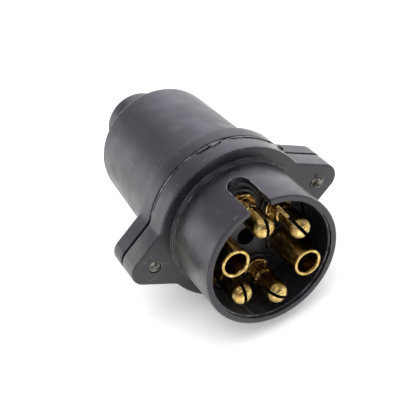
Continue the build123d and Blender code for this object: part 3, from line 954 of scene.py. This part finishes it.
def shape_socket(node_name):
    """Turn one socket tube: rounded mouth, bore with a drilled end, base collar and rear terminal."""
    centre, mouth, back = node_line(node_name)
    boss = mouth + 14.4 * MM
    outer, bore = 4.4 * MM, 3.4 * MM
    outline = [
        (0.0, mouth + 14.2 * MM),
        (bore, mouth + 13.0 * MM),
        (bore, mouth + 4.0 * MM),
        (bore + 0.03 * MM, mouth + 2.0 * MM),
        (bore, mouth + 0.4 * MM, 0.2 * MM),
        (bore + 0.2 * MM, mouth, 0.16 * MM),
        (outer - 0.12 * MM, mouth, 0.16 * MM),
        (outer, mouth + 0.3 * MM, 0.16 * MM),
        (outer - 0.03 * MM, mouth + 5.0 * MM),
        (outer, boss, 0.2 * MM),
        (2.5 * MM, boss),
    ]
    outline = rounded_outline(outline + terminal_outline(back))
    bm = bmesh.new()
    lathe(bm, outline, centre, segments=80)
    piece = add_piece(f"{node_name}_turned", bm, brass_finish, "mating_half")
    cut_terminal(piece, node_name, centre, back)
    round_turned_edges(piece, 0.08 * MM, angle=55.0)
    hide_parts(node_name)
    return piece


# ---------------------------------------------------------------- screws
def threaded_shank(bm, outline_radius, start, end, pitch, depth, segments=48):
    """Add a closed threaded bar along Y at the origin: its radius follows a helix."""
    rings = []
    steps = max(8, int((end - start) / pitch * 8))
    for step in range(steps + 1):
        y = start + (end - start) * step / steps
        lead = min(1.0, (y - start) / (1.2 * pitch) + 0.15)
        ring = []
        for index in range(segments):
            turn = 2 * pi * index / segments
            phase = (y / pitch - turn / (2 * pi)) % 1.0
            groove = abs(2 * phase - 1)
            radius = outline_radius - depth * (groove * lead + (1 - lead))
            ring.append(bm.verts.new((radius * cos(turn), y, radius * sin(turn))))
        rings.append(ring)
    skin(bm, rings, capped=False)
    for ring, inset in ((rings[0], -0.12 * MM), (rings[-1], 0.0)):
        centre_y = sum(vertex.co.y for vertex in ring) / segments + inset
        middle = bm.verts.new((0, centre_y, 0))
        for index in range(segments):
            bm.faces.new((ring[index], ring[(index + 1) % segments], middle))


def shape_flange_screw(node_name):
    """Make one flange screw: pan head with a cross recess at the back, threaded end at the front."""
    centre, end, head_top = node_line(node_name)
    seat, head_radius, shank_radius = head_top - 2.5 * MM, 3.6 * MM, 2.0 * MM
    pitch, thread_depth = 0.7 * MM, 0.27 * MM
    recess_reach, recess_half, recess_depth = 2.1 * MM, 0.55 * MM, 1.4 * MM
    bm = bmesh.new()
    head = [(0.0, seat - 0.05 * MM), (head_radius, seat, 0.2 * MM), (head_radius, seat + 1.2 * MM, 0.5 * MM)]
    head += [(2.9 * MM, seat + 2.2 * MM, 0.6 * MM), (1.6 * MM, head_top, 0.5 * MM), (0.0, head_top)]
    lathe(bm, rounded_outline(head))
    threaded_shank(bm, shank_radius, end, seat + 0.3 * MM, pitch, thread_depth)
    bmesh.ops.translate(bm, verts=bm.verts, vec=(centre[0], 0, centre[1]))
    piece = add_piece(f"{node_name}_threaded", bm, screw_finish, node_name, smooth_angle=32)
    turn = radians(RECESS_TURNS[node_name])
    cuts = []
    for quarter in (0, pi / 2):
        low = (-recess_reach, head_top - recess_depth, -recess_half)
        high = (recess_reach, head_top + 1.0 * MM, recess_half)
        cuts.append(box_cutter(low, high, turn + quarter, centre))
    carve(piece, cuts)
    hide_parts(node_name)
    return piece


def shape_screw_burr():
    """Make the torn burr that stands on the front end of the right flange screw."""
    centre, end, _ = node_line("right_flange_screw")
    bm = bmesh.new()
    rows = []
    for step in range(9):
        share = step / 8
        reach = Vector((-0.9 + 3.3 * share, -0.2 - 1.3 * sin(share * 2.2), -0.7 + 2.9 * share * share))
        half = 1.15 * (1 - share) ** 0.7 + 0.08
        thick = 0.3 * (1 - 0.8 * share)
        side = Vector((-0.55, 0.1, 0.83)).normalized()
        middle = Vector((centre[0], end, centre[1])) + reach * MM
        wave = 0.12 * noise.noise(Vector((share * 6, 2.0, 0.0)))
        up = Vector((0, -1, 0))
        corners = (side * half + up * wave, up * thick, side * -half - up * wave, up * -thick)
        rows.append([bm.verts.new(middle + corner * MM) for corner in corners])
    skin(bm, rows)
    body, slot = "right_flange_screw", "screw_steel"
    return add_piece("right_screw_burr", bm, screw_finish, body, smooth_angle=40)


# ---------------------------------------------------------------- stage
def lay_floor():
    """Lay the pale floor under the plug."""
    studio = bpy.context.scene.plug_studio
    bm = bmesh.new()
    bmesh.ops.create_grid(bm, x_segments=2, y_segments=2, size=studio.floor_size / 2)
    floor = mesh_object("floor", bm)
    floor.location = (0, 0, cad_box[0][2] - 0.0001)
    material, tree, shader = new_material("floor_white")
    cloth = noise_value(tree, 60.0, stretched_place(tree), detail=3.0)
    dimmer = [0.99 * part for part in studio.floor_colour]
    pale = blend_colour(tree, cloth, (*studio.floor_colour, 1), (*dimmer, 1))
    tree.links.new(pale, shader.inputs["Base Color"])
    shader.inputs["Roughness"].default_value = 0.75
    shader.inputs["Specular IOR Level"].default_value = 0.2
    floor.data.materials.append(material)


def light_studio():
    """Light the plug with a pale room, brighter behind it and at its left, and a soft panel overhead."""
    studio = bpy.context.scene.plug_studio
    world = bpy.data.worlds.new("studio")
    world.use_nodes = True
    tree = world.node_tree
    tree.nodes.clear()
    direction = add_node(tree, "ShaderNodeTexCoord").outputs["Generated"]
    height = add_node(tree, "ShaderNodeSeparateXYZ", {0: direction}).outputs["Z"]
    glow = remap(tree, height, -0.3, 1.0, studio.room_low, studio.room_high)
    for operation, heading, spread, fullest, away, towards in (
        ("ADD", studio.back_heading, studio.back_spread, 1.0, 0.0, studio.back_glow),
        ("ADD", studio.left_heading, studio.left_spread, 1.0, 0.0, studio.left_glow),
        ("MULTIPLY", studio.shade_heading, studio.shade_spread, 0.95, 1.0, studio.front_shade),
    ):
        vectors = {0: direction, 1: Vector(heading).normalized()}
        facing = add_node(tree, "ShaderNodeVectorMath", vectors, operation="DOT_PRODUCT").outputs["Value"]
        lobe = remap(tree, facing, cos(radians(spread)), fullest, away, towards)
        glow = math_node(tree, operation, glow, lobe)
    room = add_node(tree, "ShaderNodeBackground", {"Color": (*studio.room_colour, 1), "Strength": glow})
    backdrop = add_node(tree, "ShaderNodeBackground", {"Color": (1, 1, 1, 1), "Strength": studio.room_fill})
    path = add_node(tree, "ShaderNodeLightPath")
    plain = math_node(tree, "SUBTRACT", 1.0, path.outputs["Is Glossy Ray"])
    light = add_node(tree, "ShaderNodeMixShader", {0: plain, 1: room.outputs[0], 2: backdrop.outputs[0]})
    add_node(tree, "ShaderNodeOutputWorld", {"Surface": light.outputs[0]})
    bpy.context.scene.world = world
    data = bpy.data.lights.new("top panel", "AREA")
    data.size = studio.panel_size
    data.energy = studio.top_power
    lamp = place_object("top panel", data)
    place, target = Vector(studio.panel_place), Vector((0, 0.035, 0))
    lamp.location = place
    lamp.rotation_euler = (target - place).to_track_quat("-Z", "Y").to_euler()


def place_camera():
    """Put the camera above and in front of the mating end, a little to the plug's left."""
    studio = bpy.context.scene.plug_studio
    data = bpy.data.cameras.new("camera")
    data.lens = studio.lens
    data.sensor_width = 36
    data.shift_x, data.shift_y = studio.camera_shift
    data.clip_end = 10
    camera = place_object("camera", data)
    z_axis = -Vector(studio.camera_heading).normalized()
    x_axis = Vector(studio.camera_up).cross(z_axis).normalized()
    y_axis = z_axis.cross(x_axis)
    matrix = Matrix((x_axis, y_axis, z_axis)).transposed().to_4x4()
    matrix.translation = Vector(studio.camera_place)
    camera.matrix_world = matrix
    bpy.context.scene.camera = camera
    bpy.context.scene.view_settings.view_transform = "Standard"


# ---------------------------------------------------------------- settings
def length_setting(name, description, default, **limits):
    """Return a length in metres for a group of settings."""
    return FloatProperty(name=name, description=description, unit="LENGTH", default=default, **limits)


def heading_setting(name, description, default, precision=2):
    """Return a direction in space for a group of settings."""
    return FloatVectorProperty(
        name=name, description=description, subtype="XYZ", default=default, precision=precision,
    )


def colour_setting(name, description, default):
    """Return a colour for a group of settings."""
    return FloatVectorProperty(
        name=name, description=description, subtype="COLOR", default=default, min=0.0, max=1.0,
    )


class PlugPlasticSettings(bpy.types.PropertyGroup):
    """Colours and surface of the moulded black plastic."""

    black: colour_setting("Black", "Deepest colour of the plastic", (0.007, 0.0055, 0.011))
    # The bloom colours are partly real smears and partly a painted sheen on the plug's left side.
    bloom: colour_setting("Bloom", "Paler colour in clouds over the front housing", (0.062, 0.058, 0.05))
    cover_bloom: colour_setting(
        "Cover bloom", "Paler colour in clouds over the rear cover", (0.021, 0.019, 0.026),
    )
    scuff_colour: colour_setting("Scuffs", "Colour of scratches", (0.2, 0.2, 0.21))
    wear_colour: colour_setting("Rubbed edges", "Colour of edges that are worn", (0.3, 0.3, 0.33))
    dust_colour: colour_setting("Dust", "Colour of dust", (0.3, 0.29, 0.27))
    roughness: FloatProperty(
        name="Roughness", description="How dull the plastic is", subtype="FACTOR", default=0.3,
        min=0.0, max=1.0,
    )
    grain_depth: length_setting("Grain depth", "Height of the moulded grain", 0.00003, min=0.0, precision=6)
    edge_radius: length_setting("Edge radius", "Radius of the moulded edges", 0.00022, min=0.0, precision=5)


class PlugMetalSettings(bpy.types.PropertyGroup):
    """Colours and surface of the brass contacts and the steel screws."""

    brass: colour_setting("Brass", "Colour of the turned brass", (0.6, 0.43, 0.12))
    pale_brass: colour_setting("Pale brass", "Colour of rubbed brass", (0.97, 0.77, 0.34))
    tarnish: colour_setting("Tarnish", "Amber of the tarnish streaks", (0.24, 0.125, 0.024))
    deep_tarnish: colour_setting("Deep tarnish", "Brown in the hollows", (0.06, 0.028, 0.01))
    rust: colour_setting("Rust", "Rust on the screws", (0.13, 0.06, 0.025))
    bright_end: length_setting(
        "Bright end", "Depth behind the rim to which mating keeps the brass bright", -0.0012,
        precision=4,
    )
    tarnished_from: length_setting(
        "Tarnished from", "Depth behind the rim from which the brass is tarnished", 0.0035,
        precision=4,
    )
    brass_roughness: FloatProperty(
        name="Brass roughness", description="How dull the brass is", subtype="FACTOR", default=0.09,
        min=0.0, max=1.0,
    )
    pitting: length_setting("Pitting", "Depth of the marks in the brass", 0.0003, min=0.0, precision=6)


class PlugDetailSettings(bpy.types.PropertyGroup):
    """Sizes of the turned and torn details."""

    pin_radius: length_setting("Pin radius", "Radius of the split pins", 0.0033, min=0.001, precision=5)
    slit_width: length_setting("Slit width", "Width of the pins' slits", 0.0009, min=0.0, precision=5)
    slit_spread: length_setting(
        "Slit spread", "How far each half of a pin springs out at its tip", 0.00008, min=0.0,
        precision=6,
    )
    flash_height: length_setting(
        "Flash height", "How far the moulding flash stands out", 0.0005, min=0.0, precision=5,
    )
    nub_turn: FloatProperty(
        name="Nub angle", description="Place of the torn nub round the flange, in degrees",
        default=31.0,
    )
    gasket_bulge: length_setting(
        "Gasket bulge", "How far the gasket bulges between the flanges", 0.00012, min=0.0,
        precision=6,
    )


class PlugStudioSettings(bpy.types.PropertyGroup):
    """Floor, light and camera."""

    floor_size: length_setting("Floor size", "Side of the floor", 6.0, min=0.5)
    floor_colour: colour_setting("Floor", "Colour of the floor", (0.92, 0.92, 0.92))
    room_colour: colour_setting("Room", "Colour of the room's light", (0.92, 0.9, 1.0))
    room_fill: FloatProperty(name="Room fill", description="Plain light all round", default=1.55, min=0.0)
    room_low: FloatProperty(
        name="Room, low", description="Light reflected from near the floor", default=0.95, min=0.0,
    )
    room_high: FloatProperty(
        name="Room, high", description="Light reflected from overhead", default=0.62, min=0.0,
    )
    back_glow: FloatProperty(
        name="Back glow", description="Soft light behind the cable end", default=1.2, min=0.0,
    )
    back_spread: FloatProperty(
        name="Back spread", description="Half width of the back glow, in degrees", default=46.0,
    )
    back_heading: heading_setting("Back place", "Direction that the back glow comes from", (0.6, 0.7, 0.38))
    left_glow: FloatProperty(
        name="Left glow", description="Soft light low at the left", default=1.9, min=0.0,
    )
    left_spread: FloatProperty(
        name="Left spread", description="Half width of the left glow, in degrees", default=30.0,
    )
    left_heading: heading_setting(
        "Left place", "Direction that the left glow comes from", (-0.74, 0.66, 0.05),
    )
    front_shade: FloatProperty(
        name="Front shade", description="How much light comes from the side that the camera is on",
        subtype="FACTOR", default=0.2, min=0.0, max=1.0,
    )
    shade_spread: FloatProperty(
        name="Shade spread", description="Half width of the shaded side, in degrees", default=50.0,
    )
    shade_heading: heading_setting("Shade place", "Direction of the shaded side", (0.15, -0.8, 0.55))
    top_power: FloatProperty(
        name="Top panel", description="Power of the panel overhead", unit="POWER", default=2.2,
    )
    panel_size: length_setting("Panel size", "Side of the panel overhead", 0.7)
    panel_place: FloatVectorProperty(
        name="Panel place", description="Where the panel overhead hangs", subtype="XYZ",
        unit="LENGTH", default=(0.0, -0.12, 0.8), precision=2,
    )
    lens: FloatProperty(name="Lens", description="Focal length in millimetres", default=80.05, min=10.0)
    camera_place: FloatVectorProperty(
        name="Camera place", description="Where the camera stands", subtype="XYZ", unit="LENGTH",
        default=(-0.0731, -0.1835, 0.1807), precision=4,
    )
    camera_heading: heading_setting(
        "Camera heading", "Direction that the camera looks in", (0.2323, 0.7467, -0.6233),
        precision=4,
    )
    camera_up: heading_setting(
        "Camera up", "Direction that is up in the view", (0.4503, 0.4854, 0.7494), precision=4,
    )
    camera_shift: FloatVectorProperty(
        name="Camera shift", description="Shift of the view across the sensor", size=2,
        default=(0.0145, 0.011), precision=4,
    )


# ---------------------------------------------------------------- operators
class PLUG_OT_front_housing(bpy.types.Operator):
    """Mould the collar and front flange, and add the flash along the joint"""

    bl_idname = "plug.front_housing"
    bl_label = "Front Housing"

    def execute(self, context):
        shape_front_housing()
        shape_joint_flash()
        shape_flash_nub()
        return {"FINISHED"}


class PLUG_OT_flange_gasket(bpy.types.Operator):
    """Build the squeezed gasket between the flanges"""

    bl_idname = "plug.flange_gasket"
    bl_label = "Flange Gasket"

    def execute(self, context):
        shape_gasket()
        return {"FINISHED"}


class PLUG_OT_rear_cover(bpy.types.Operator):
    """Mould the rear cover, its neck and the clamp's seat"""

    bl_idname = "plug.rear_cover"
    bl_label = "Rear Cover"

    def execute(self, context):
        shape_rear_cover()
        shape_clamp_seat()
        return {"FINISHED"}


class PLUG_OT_contact_insert(bpy.types.Operator):
    """Finish the insert that holds the contacts"""

    bl_idname = "plug.contact_insert"
    bl_label = "Contact Insert"

    def execute(self, context):
        part = paint_part("contact_insert", insert_finish)
        soften_edges(part, context.scene.plug_plastic.edge_radius)
        return {"FINISHED"}


class PLUG_OT_pin_contacts(bpy.types.Operator):
    """Turn the four split pins"""

    bl_idname = "plug.pin_contacts"
    bl_label = "Pin Contacts"

    def execute(self, context):
        for node_name in PIN_NODES:
            shape_pin(node_name)
        return {"FINISHED"}


class PLUG_OT_socket_contacts(bpy.types.Operator):
    """Turn the two socket tubes"""

    bl_idname = "plug.socket_contacts"
    bl_label = "Socket Contacts"

    def execute(self, context):
        for node_name in SOCKET_NODES:
            shape_socket(node_name)
        return {"FINISHED"}


class PLUG_OT_terminal_screws(bpy.types.Operator):
    """Finish the screws that grip the wires"""

    bl_idname = "plug.terminal_screws"
    bl_label = "Terminal Screws"

    def execute(self, context):
        for node_name in TERMINAL_SCREW_NODES:
            soften_edges(paint_part(node_name, terminal_finish), 0.0001, segments=2)
        return {"FINISHED"}


class PLUG_OT_flange_screws(bpy.types.Operator):
    """Build the two threaded flange screws and the burr on one of them"""

    bl_idname = "plug.flange_screws"
    bl_label = "Flange Screws"

    def execute(self, context):
        for node_name in FLANGE_SCREW_NODES:
            shape_flange_screw(node_name)
        shape_screw_burr()
        return {"FINISHED"}


class PLUG_OT_cable_clamp(bpy.types.Operator):
    """Finish the cable clamp's bar and its two screws"""

    bl_idname = "plug.cable_clamp"
    bl_label = "Cable Clamp"

    def execute(self, context):
        soften_edges(paint_part("cable_clamp_bar", clamp_finish), 0.0002, segments=2)
        for node_name in CLAMP_SCREW_NODES:
            soften_edges(paint_part(node_name, screw_finish), 0.0001, segments=2)
        return {"FINISHED"}


class PLUG_OT_cable_grommet(bpy.types.Operator):
    """Finish the rubber grommet in the neck"""

    bl_idname = "plug.cable_grommet"
    bl_label = "Cable Grommet"

    def execute(self, context):
        soften_edges(paint_part("cable_grommet", grommet_finish), 0.0002, segments=2)
        return {"FINISHED"}


class PLUG_OT_studio(bpy.types.Operator):
    """Lay the floor, hang the lights and place the camera"""

    bl_idname = "plug.studio"
    bl_label = "Studio"

    def execute(self, context):
        lay_floor()
        light_studio()
        place_camera()
        return {"FINISHED"}


SETTINGS = {
    "plug_plastic": PlugPlasticSettings,
    "plug_metal": PlugMetalSettings,
    "plug_detail": PlugDetailSettings,
    "plug_studio": PlugStudioSettings,
}

OPERATORS = (
    PLUG_OT_front_housing,
    PLUG_OT_flange_gasket,
    PLUG_OT_rear_cover,
    PLUG_OT_contact_insert,
    PLUG_OT_pin_contacts,
    PLUG_OT_socket_contacts,
    PLUG_OT_terminal_screws,
    PLUG_OT_flange_screws,
    PLUG_OT_cable_clamp,
    PLUG_OT_cable_grommet,
    PLUG_OT_studio,
)


class PLUG_PT_builder(bpy.types.Panel):
    """Sizes, colours and steps of the trailer plug"""

    bl_idname = "PLUG_PT_builder"
    bl_label = "Trailer Plug"
    bl_space_type = "VIEW_3D"
    bl_region_type = "UI"
    bl_category = "Trailer Plug"

    def draw(self, context):
        layout = self.layout
        for pointer, settings in SETTINGS.items():
            box = layout.box()
            for label in settings.__annotations__:
                box.prop(getattr(context.scene, pointer), label)
        for operator in OPERATORS:
            layout.operator(operator.bl_idname)


def register():
    for settings in SETTINGS.values():
        bpy.utils.register_class(settings)
    for pointer, settings in SETTINGS.items():
        setattr(bpy.types.Scene, pointer, PointerProperty(type=settings))
    for entry in (*OPERATORS, PLUG_PT_builder):
        bpy.utils.register_class(entry)


def unregister():
    for entry in reversed((*OPERATORS, PLUG_PT_builder)):
        bpy.utils.unregister_class(entry)
    for pointer, settings in reversed(SETTINGS.items()):
        delattr(bpy.types.Scene, pointer)
        bpy.utils.unregister_class(settings)


def main():
    register()
    for operator in OPERATORS:
        group, action = operator.bl_idname.split(".")
        getattr(getattr(bpy.ops, group), action)()


if __name__ == "__main__":
    main()
